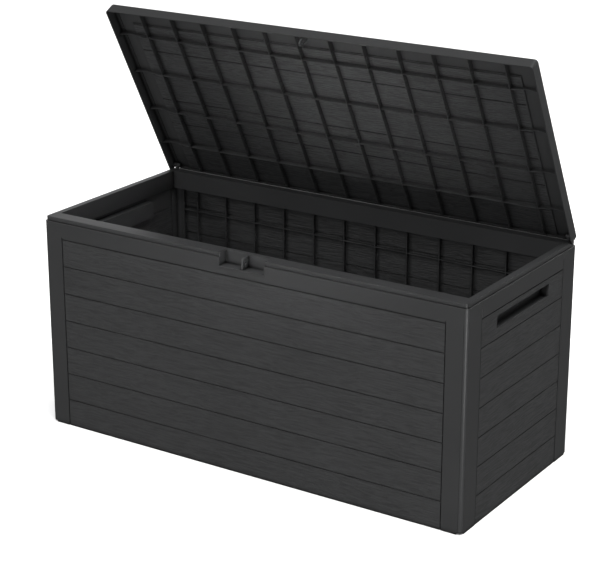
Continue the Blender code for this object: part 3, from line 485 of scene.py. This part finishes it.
def lid():
    length, depth = HALF_LENGTH, HALF_DEPTH
    board_half = length - LID_BORDER
    board_front = depth - LID_BOARD_PITCH * LID_BOARDS
    levels = [board_front + LID_BOARD_PITCH * index for index in range(LID_BOARDS)]
    end_groove = board_half - GROOVE_WIDTH / 2
    ribs = [-length + 2 * length * (LID_RIB_FIRST + LID_RIB_PITCH * index) for index in range(LID_RIBS)]
    rows = [-depth + 2 * depth * fraction for fraction in CROSS_RIBS]
    rib_end = PIVOT_Y - RIB_REAR_CLEARANCE
    swing = PIVOT_Z - LID_LOW

    def top(u, v):
        across = np.abs(u)
        inside = (across < end_groove) & (v > board_front)
        drop = np.where(inside, BOARD_DROP, 0.0)
        drop = np.maximum(drop, np.where(v >= board_front - GROOVE_WIDTH, groove(across - end_groove), 0))
        for level in levels:
            drop = np.maximum(drop, np.where(across <= board_half, groove(v - level), 0))
        edge = np.minimum(length - across, depth - np.abs(v))
        return LID_TOP - np.maximum(drop, edge_round(edge, LID_EDGE_ROUND))

    def skirt_low(u, v):
        """Height of the skirt's lower edge, which rises in an arc at the hinge end."""
        past = np.clip(v - PIVOT_Y, 0, None)
        return PIVOT_Z - np.sqrt(np.maximum(swing * swing - past * past, 0))

    def bottom(u, v):
        across = np.abs(u)
        panel = np.minimum(ramp(board_half + LID_SKIRT - across, 1), ramp(v - board_front + LID_SKIRT, 1))
        under = LID_BORDER_UNDER + (LID_PANEL_UNDER - LID_BORDER_UNDER) * panel
        for level in levels:
            under = under + np.where(across < board_half,
                                     groove(v - level, INNER_LINE_DEPTH, INNER_LINE_WIDTH, GAP), 0)
        hang = np.zeros_like(u)
        behind = v > rib_end
        reach = np.where(behind, under - REAR_SKIRT_LOW, under - LID_RIB_LOW)
        for centre in ribs:
            hang = np.maximum(hang, reach * rib(u - centre, 1))
        end_bay = np.clip((across - ribs[-1]) / (length - LID_SKIRT - ribs[-1]), 0, 1)
        scoop = 1 - END_BAY_SCOOP * np.sin(np.pi * end_bay)
        for centre in rows:
            hang = np.maximum(hang, (under - LID_RIB_LOW) * scoop * rib(v - centre, 1))
        hang = np.maximum(hang, rib(across - (length - LEDGE_IN), LEDGE_HEIGHT, LEDGE_WIDTH, GAP)
                          * (v < rib_end))
        low = under - hang
        edge = np.minimum(length - across, depth + v)
        low = np.where(edge < LID_SKIRT + GAP / 2, np.minimum(low, skirt_low(u, v)), low)
        rear = (v > depth - REAR_SKIRT_THICKNESS - GAP / 2) & (across <= length - LID_SKIRT - GAP / 2)
        low = np.where(rear, REAR_SKIRT_LOW, low)
        ear = (across > EAR_NOTCH[0]) & (across < EAR_NOTCH[1]) & (v > rib_end)
        return np.where(ear, LID_BORDER_UNDER, low)

    u_lines = [edge_lines(-length, length, LID_EDGE_ROUND), even(-length, length, 0.1)]
    u_lines += [rib_lines(centre) for centre in ribs]
    for side in (-1, 1):
        u_lines += [groove_lines(side * end_groove), step_lines(side * (board_half + LID_SKIRT), -side)]
        u_lines += [side * (length - LID_SKIRT - SKIRT_FOOT), side * (length - 0.0005 * np.arange(3))]
        u_lines += [groove_lines(side * (length - LEDGE_IN), LEDGE_WIDTH, GAP)]
        u_lines += [side * np.array([edge + nudge for edge in EAR_NOTCH for nudge in (-0.0001, 0.0001)])]
        u_lines += [side * np.linspace(ribs[-1], length - LID_SKIRT, 9)]
        u_lines += [side * (length - LID_CORNER * np.linspace(0, 1, 6))]
    v_lines = [edge_lines(-depth, depth, LID_EDGE_ROUND)]
    v_lines += [groove_lines(level) for level in levels]
    v_lines += [groove_lines(level, INNER_LINE_WIDTH, GAP) for level in levels]
    v_lines += [rib_lines(centre) for centre in rows]
    v_lines += [step_lines(board_front - LID_SKIRT, 1)]
    v_lines += [-depth + LID_SKIRT + SKIRT_FOOT, depth - REAR_SKIRT_THICKNESS - SKIRT_FOOT]
    v_lines += [rib_end + np.array([-0.0001, 0.0001]), np.linspace(PIVOT_Y, depth, 7)]
    v_lines += [sign * (depth - LID_CORNER * np.linspace(0, 1, 6)) for sign in (-1, 1)]
    us = clipped(u_lines, -length, length)
    vs = clipped(v_lines, -depth, depth)
    boards_half = board_half - GROOVE_WIDTH
    number = (lambda v: np.floor((v - board_front) / LID_BOARD_PITCH))
    grain = (lambda u, v: OUTER_GRAIN * ((np.abs(u) < boards_half) & (v > board_front + GROOVE_WIDTH / 2)),
             lambda u, v: (np.abs(u) < board_half) & (v > board_front - 2 * GROOVE_WIDTH))
    board = (lambda u, v: grain_number(number(v), 11), lambda u, v: grain_number(number(v), 17))
    place = (lambda u, v, d: opened(np.stack([u, v, d], -1)))
    shell = relief("lid_moulding", us, vs, top, bottom, place, None, grain, board, round_corners)
    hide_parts("lid_shell")
    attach(shell, "lid")
    paint(shell, GRAINED_X)


def lid_sockets():
    """Bosses on the lid's side skirts that the hinge pins turn in."""
    radius, bore = SOCKET_RADIUS, SOCKET_BORE
    start = EAR_NOTCH[1] - 0.0009
    profile = [(start, bore), (start, radius - GAP * 2), (start + GAP * 2, radius),
               (HALF_LENGTH - LID_SKIRT / 2, radius), (HALF_LENGTH - LID_SKIRT / 2, 0.0), (SOCKET_END, 0.0),
               (SOCKET_END, bore)]
    for side, word in ((-1, "left"), (1, "right")):
        socket = turned(f"{word}_pin_socket", [(side * x, r) for x, r in profile])
        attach(socket, "lid")
        paint(socket, SPECKLED)


def turned(name, profile, segments=40):
    """A solid turned about the hinge axis, from (x, radius) points round its section."""
    shape = bmesh.new()
    rings = []
    for x, radius in profile:
        if radius == 0:
            rings.append([shape.verts.new((x, PIVOT_Y, PIVOT_Z))])
            continue
        angles = [2 * math.pi * step / segments for step in range(segments)]
        rings.append([shape.verts.new((x, PIVOT_Y + radius * math.cos(a), PIVOT_Z + radius * math.sin(a)))
                      for a in angles])
    for index, ring in enumerate(rings):
        following = rings[(index + 1) % len(rings)]
        if len(ring) == 1 and len(following) == 1:
            continue
        for step in range(segments):
            after = (step + 1) % segments
            corners = [ring[step % len(ring)], ring[after % len(ring)],
                       following[after % len(following)], following[step % len(following)]]
            shape.faces.new(list(dict.fromkeys(corners)))
    bmesh.ops.recalc_face_normals(shape, faces=shape.faces)
    mesh = bpy.data.meshes.new(name)
    shape.to_mesh(mesh)
    shape.free()
    mesh.shade_smooth()
    mesh.set_sharp_from_angle(angle=math.radians(35))
    piece = bpy.data.objects.new(name, mesh)
    bpy.context.scene.collection.objects.link(piece)
    return piece


# ---------------------------------------------------------------- small mouldings

def softened(node, body, material, width, segments=3):
    """A new piece with a CAD node's shape and rounded edges."""
    source = frame["nodes"][node]
    shape = bmesh.new()
    shape.from_mesh(source.data)
    bmesh.ops.remove_doubles(shape, verts=shape.verts, dist=1e-5)
    bmesh.ops.dissolve_limit(shape, angle_limit=math.radians(1), verts=shape.verts, edges=shape.edges)
    mesh = bpy.data.meshes.new(node + "_rounded")
    shape.to_mesh(mesh)
    shape.free()
    mesh.shade_smooth()
    mesh.set_sharp_from_angle(angle=math.radians(60))
    piece = bpy.data.objects.new(node + "_rounded", mesh)
    bpy.context.scene.collection.objects.link(piece)
    bevel = piece.modifiers.new("edges", "BEVEL")
    bevel.width = width
    bevel.segments = segments
    bevel.limit_method = "ANGLE"
    bevel.angle_limit = math.radians(35)
    bevel.harden_normals = True
    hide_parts(node)
    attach(piece, body)
    paint(piece, material)
    return piece


def small_mouldings():
    for word in ("left", "right"):
        for end in ("front", "rear"):
            softened(f"{end}_{word}_corner_post", "box", SPECKLED, 0.0005)
        softened(f"{word}_rim", "box", SPECKLED, 0.0010)
        softened(f"{word}_handle_cup", "box", SPECKLED, 0.0006)
        softened(f"{word}_hinge_bracket", "box", SPECKLED, 0.0004, 2)
        softened(f"{word}_hinge_pin", "box", PIN_PLASTIC, 0.0006)
        for number in (1, 2):
            softened(f"{word}_hinge_screw_{number}", "box", STEEL, 0.0004, 2)
    for node in ("front_rim", "rear_rim"):
        softened(node, "box", SPECKLED, 0.0010)
    softened("latch_tray", "box", SPECKLED, 0.0008)
    softened("lock_staple", "box", PIN_PLASTIC, 0.0009)
    softened("lock_eye", "lid", PIN_PLASTIC, 0.0006)
    softened("floor_panel", "box", SPECKLED, 0.0008)


# ---------------------------------------------------------------- materials

def paint(piece, material):
    piece.data.materials.clear()
    piece.data.materials.append(material)


class Nodes:
    """Short calls for building a node tree."""

    def __init__(self, name):
        self.material = bpy.data.materials.new(name)
        self.material.use_nodes = True
        self.tree = self.material.node_tree
        self.shader = self.tree.nodes["Principled BSDF"]

    def add(self, kind, inputs=None, **settings):
        node = self.tree.nodes.new(kind)
        for key, value in settings.items():
            setattr(node, key, value)
        for key, value in (inputs or {}).items():
            if isinstance(value, bpy.types.NodeSocket):
                self.tree.links.new(value, node.inputs[key])
            else:
                node.inputs[key].default_value = value
        return node

    def math(self, operation, first, second=0.0):
        return self.add("ShaderNodeMath", {0: first, 1: second}, operation=operation).outputs[0]

    def noise(self, vector, scale, detail=3.0, roughness=0.5):
        node = self.add("ShaderNodeTexNoise", {"Vector": vector, "Scale": scale, "Detail": detail,
                                               "Roughness": roughness})
        return node.outputs["Fac"]

    def remap(self, value, low, high, new_low, new_high):
        node = self.add("ShaderNodeMapRange", {"Value": value, "From Min": low, "From Max": high,
                                               "To Min": new_low, "To Max": new_high})
        return node.outputs[0]

    def moved(self, vector, x, y, z):
        by = self.add("ShaderNodeCombineXYZ", {"X": x, "Y": y, "Z": z}).outputs[0]
        return self.add("ShaderNodeVectorMath", {0: vector, 1: by}, operation="ADD").outputs[0]

    def painted_crevice_shade(self):
        """Ambient occlusion, near 1 on open faces and less down in grooves and inside corners, used as
        painted shade on the base colour.
        """
        node = self.add("ShaderNodeAmbientOcclusion", {"Distance": PAINTED_SHADE_REACH}, samples=6)
        return node.outputs["AO"]

    def attribute(self, name):
        return self.add("ShaderNodeAttribute", attribute_name=name).outputs["Fac"]

    def mix(self, factor, first, second):
        node = self.add("ShaderNodeMix", data_type="RGBA")
        for socket, value in ((node.inputs[0], factor), (node.inputs[6], first), (node.inputs[7], second)):
            if isinstance(value, bpy.types.NodeSocket):
                self.tree.links.new(value, socket)
            else:
                socket.default_value = value
        return node.outputs[2]

    def drive(self, socket, value):
        self.tree.links.new(value, self.shader.inputs[socket])


def speckle(nodes, where):
    """The fine spark-eroded texture of a smooth moulded face."""
    fine = nodes.noise(where, 900.0, 2.0)
    coarse = nodes.noise(where, 320.0, 2.0)
    return nodes.math("ADD", nodes.math("MULTIPLY", fine, 0.55), nodes.math("MULTIPLY", coarse, 0.45))


def finish_plastic(nodes, colour, height, distance, shade, base_roughness, strength=1.0):
    """Shared end of the materials: colour and roughness vary with the texture, and faintly over the piece;
    the colour also carries painted shade in grooves and inside corners.
    """
    where = nodes.add("ShaderNodeTexCoord").outputs["Object"]
    patches = nodes.noise(where, 5.0, 4.0, 0.6)
    level = nodes.math("MULTIPLY", shade, nodes.remap(patches, 0.25, 0.75, 0.93, 1.07))
    # Painted shade: ambient occlusion darkens the base colour in grooves and inside corners
    level = nodes.math("MULTIPLY", level, nodes.remap(nodes.painted_crevice_shade(), 0.50, 0.95, DARKEST_PAINTED_SHADE, 1.0))
    dark = (0.0, 0.0, 0.0, 1.0)
    nodes.drive("Base Color", nodes.mix(nodes.math("MULTIPLY", level, 0.5), dark,
                                        tuple(2 * c for c in colour) + (1.0,)))
    nodes.drive("Roughness", nodes.math("ADD", nodes.remap(patches, 0.2, 0.8, -0.04, 0.04),
                                        nodes.remap(height, 0.2, 0.8, base_roughness + 0.05,
                                                    base_roughness - 0.05)))
    bump = nodes.add("ShaderNodeBump", {"Height": height, "Strength": strength, "Distance": distance})
    nodes.drive("Normal", bump.outputs["Normal"])
    nodes.shader.inputs["Specular IOR Level"].default_value = SPECULAR
    return nodes.material


def grained_plastic(name, along):
    """Boards: wood grain along X or Y, as strong as the grain attribute says, and speckle elsewhere."""
    nodes = Nodes(name)
    where = nodes.add("ShaderNodeTexCoord").outputs["Object"]
    board = nodes.attribute(BOARD)
    shift = nodes.math("MULTIPLY", board, 3.7)
    shift_up = nodes.math("MULTIPLY", board, 1.9)
    moved = nodes.moved(where, shift, shift, shift_up)
    stretch = [GRAIN_ACROSS] * 3
    stretch["XY".index(along)] = GRAIN_ALONG
    slow = [0.035 * GRAIN_ACROSS] * 3
    slow["XY".index(along)] = 0.45 * GRAIN_ALONG
    drift_at = nodes.add("ShaderNodeMapping", {"Vector": moved, "Scale": slow}).outputs[0]
    drift = nodes.remap(nodes.noise(drift_at, 1.0, 2.0), 0.0, 1.0, -WAVE, WAVE)
    bent = nodes.moved(moved, drift, drift, drift)
    broad_at = nodes.add("ShaderNodeMapping", {"Vector": bent, "Scale": stretch}).outputs[0]
    fine_at = nodes.add("ShaderNodeMapping", {"Vector": bent, "Scale": [2.6 * s for s in stretch]}).outputs[0]
    broad = nodes.remap(nodes.noise(broad_at, 1.0, 4.0, 0.55), 0.36, 0.62, 0.0, 1.0)
    fine = nodes.remap(nodes.noise(fine_at, 1.0, 3.0, 0.6), 0.35, 0.65, 0.0, 1.0)
    wood = nodes.math("ADD", nodes.math("MULTIPLY", broad, 0.62), nodes.math("MULTIPLY", fine, 0.38))
    smooth = nodes.math("MULTIPLY", speckle(nodes, where), SPECKLE_SHARE)
    grain = nodes.attribute(GRAIN)
    height = nodes.add("ShaderNodeMix", {0: grain, 2: smooth, 3: wood}, data_type="FLOAT").outputs[0]
    tint = nodes.remap(board, 0.0, 1.0, 0.97, 1.04)
    wood_shade = nodes.math("MULTIPLY", nodes.remap(wood, 0.1, 0.9, 0.58, 1.42), tint)
    shade = nodes.add("ShaderNodeMix", {0: grain, 2: 0.90, 3: wood_shade}, data_type="FLOAT").outputs[0]
    return finish_plastic(nodes, ANTHRACITE, height, GRAIN_RELIEF, shade, BOARD_ROUGHNESS, 0.8)


def speckled_plastic(name, colour, roughness, relief_depth=0.00012):
    nodes = Nodes(name)
    where = nodes.add("ShaderNodeTexCoord").outputs["Object"]
    height = speckle(nodes, where)
    shade = nodes.remap(height, 0.3, 0.7, 0.96, 1.05)
    return finish_plastic(nodes, colour, height, relief_depth, shade, roughness, 0.6)


def zinc_steel(name):
    nodes = Nodes(name)
    where = nodes.add("ShaderNodeTexCoord").outputs["Object"]
    height = nodes.noise(where, 1400.0, 3.0)
    nodes.shader.inputs["Metallic"].default_value = 1.0
    shade = nodes.remap(height, 0.3, 0.7, 0.9, 1.1)
    return finish_plastic(nodes, ZINC, height, 0.00005, shade, ZINC_ROUGHNESS, 0.5)


GRAINED_X = grained_plastic("boards_along_x", "X")
GRAINED_Y = grained_plastic("boards_along_y", "Y")
SPECKLED = speckled_plastic("smooth_plastic", RIM_GREY, RIM_ROUGHNESS)
PIN_PLASTIC = speckled_plastic("hardware_plastic", PIN_GREY, PIN_ROUGHNESS)
STEEL = zinc_steel("zinc_plated_steel")


# ---------------------------------------------------------------- studio

def look_at(obj, target):
    obj.rotation_euler = (Vector(target) - obj.location).to_track_quat("-Z", "Y").to_euler()


def camera():
    data = bpy.data.cameras.new("camera")
    data.sensor_width = 36.0
    data.lens = CAMERA_LENS
    data.clip_end = 50.0
    eye = bpy.data.objects.new("camera", data)
    bpy.context.scene.collection.objects.link(eye)
    eye.location = CAMERA_PLACE
    eye.rotation_euler = (math.radians(90 - CAMERA_PITCH), 0, math.radians(CAMERA_HEADING))
    bpy.context.scene.camera = eye


def area_light(name, location, target, size, power):
    data = bpy.data.lights.new(name, "AREA")
    data.shape = "RECTANGLE"
    data.size, data.size_y = size
    data.energy = power
    lamp = bpy.data.objects.new(name, data)
    bpy.context.scene.collection.objects.link(lamp)
    lamp.location = location
    lamp.visible_camera = False
    look_at(lamp, target)
    return lamp


def white_floor():
    """A floor that looks white to the camera, but that the plastic doesn't mirror."""
    floor = bpy.data.objects.new("floor", bpy.data.meshes.new("floor"))
    shape = bmesh.new()
    bmesh.ops.create_grid(shape, x_segments=1, y_segments=1, size=30.0)
    shape.to_mesh(floor.data)
    shape.free()
    bpy.context.scene.collection.objects.link(floor)
    white = bpy.data.materials.new("floor_white")
    white.use_nodes = True
    shader = white.node_tree.nodes["Principled BSDF"]
    shader.inputs["Base Color"].default_value = (0.90, 0.90, 0.90, 1.0)
    shader.inputs["Roughness"].default_value = 0.9
    shader.inputs["Specular IOR Level"].default_value = 0.1
    shader.inputs["Emission Color"].default_value = (1.0, 1.0, 1.0, 1.0)
    shader.inputs["Emission Strength"].default_value = 0.05
    floor.data.materials.append(white)
    floor.visible_glossy = False


def surroundings():
    """Even white light from all round."""
    world = bpy.data.worlds.new("studio")
    world.use_nodes = True
    background = world.node_tree.nodes["Background"]
    background.inputs["Color"].default_value = (1.0, 1.0, 1.0, 1.0)
    background.inputs["Strength"].default_value = 0.26
    bpy.context.scene.world = world


def narrow(lamp, degrees):
    lamp.data.spread = math.radians(degrees)


def broad_lights():
    """The key light in front, one behind, and a soft sun overhead that keeps the floor white."""
    middle = (0.0, 0.0, 0.4)
    area_light("key", (0.9, -3.7, 2.0), middle, (0.6, 0.6), 60.0)
    area_light("rear", (0.6, 3.9, 2.9), middle, (2.0, 1.4), 120.0)
    data = bpy.data.lights.new("overhead", "SUN")
    data.energy = 3.6
    data.angle = math.radians(50)
    overhead = bpy.data.objects.new("overhead", data)
    bpy.context.scene.collection.objects.link(overhead)
    overhead.location = (0.5, -0.5, 2.0)
    look_at(overhead, (0.0, 0.0, 0.0))


def narrow_lights():
    """Lights that fill the left inner wall and the underside of the lid."""
    narrow(area_light("right", (3.4, -0.7, 1.9), (-0.6, 0.0, 0.52), (0.8, 0.4), 0.5), 14)
    narrow(area_light("lid", (0.3, -3.4, 0.10), (0.05, 0.1, 0.88), (0.5, 0.40), 1.45), 14)


def glints():
    """Lights seen only as a sheen: down the front right corner, along front edges, on the left of the rim."""
    strip = area_light("corner", (1.35, -0.80, 0.16), (0.6, -0.27, 0.28), (0.12, 0.34), 6.5)
    edges = area_light("edges", (-2.4, -2.45, 2.3), (0.0, -0.27, 0.45), (0.5, 0.5), 50.0)
    sheen = area_light("cap", (-2.6, 3.4, 1.9), (-0.4, -0.25, 0.556), (2.0, 1.4), 9.0)
    for lamp in (strip, edges, sheen):
        lamp.visible_diffuse = False


def studio():
    white_floor()
    surroundings()
    broad_lights()
    narrow_lights()
    glints()
    bpy.context.scene.view_settings.view_transform = "Standard"


def main():
    long_wall("front_wall", -1, 3)
    long_wall("rear_wall", 1, 4)
    side_wall("left_wall", -1, 5)
    side_wall("right_wall", 1, 6)
    lid()
    lid_sockets()
    small_mouldings()
    camera()
    studio()


main()
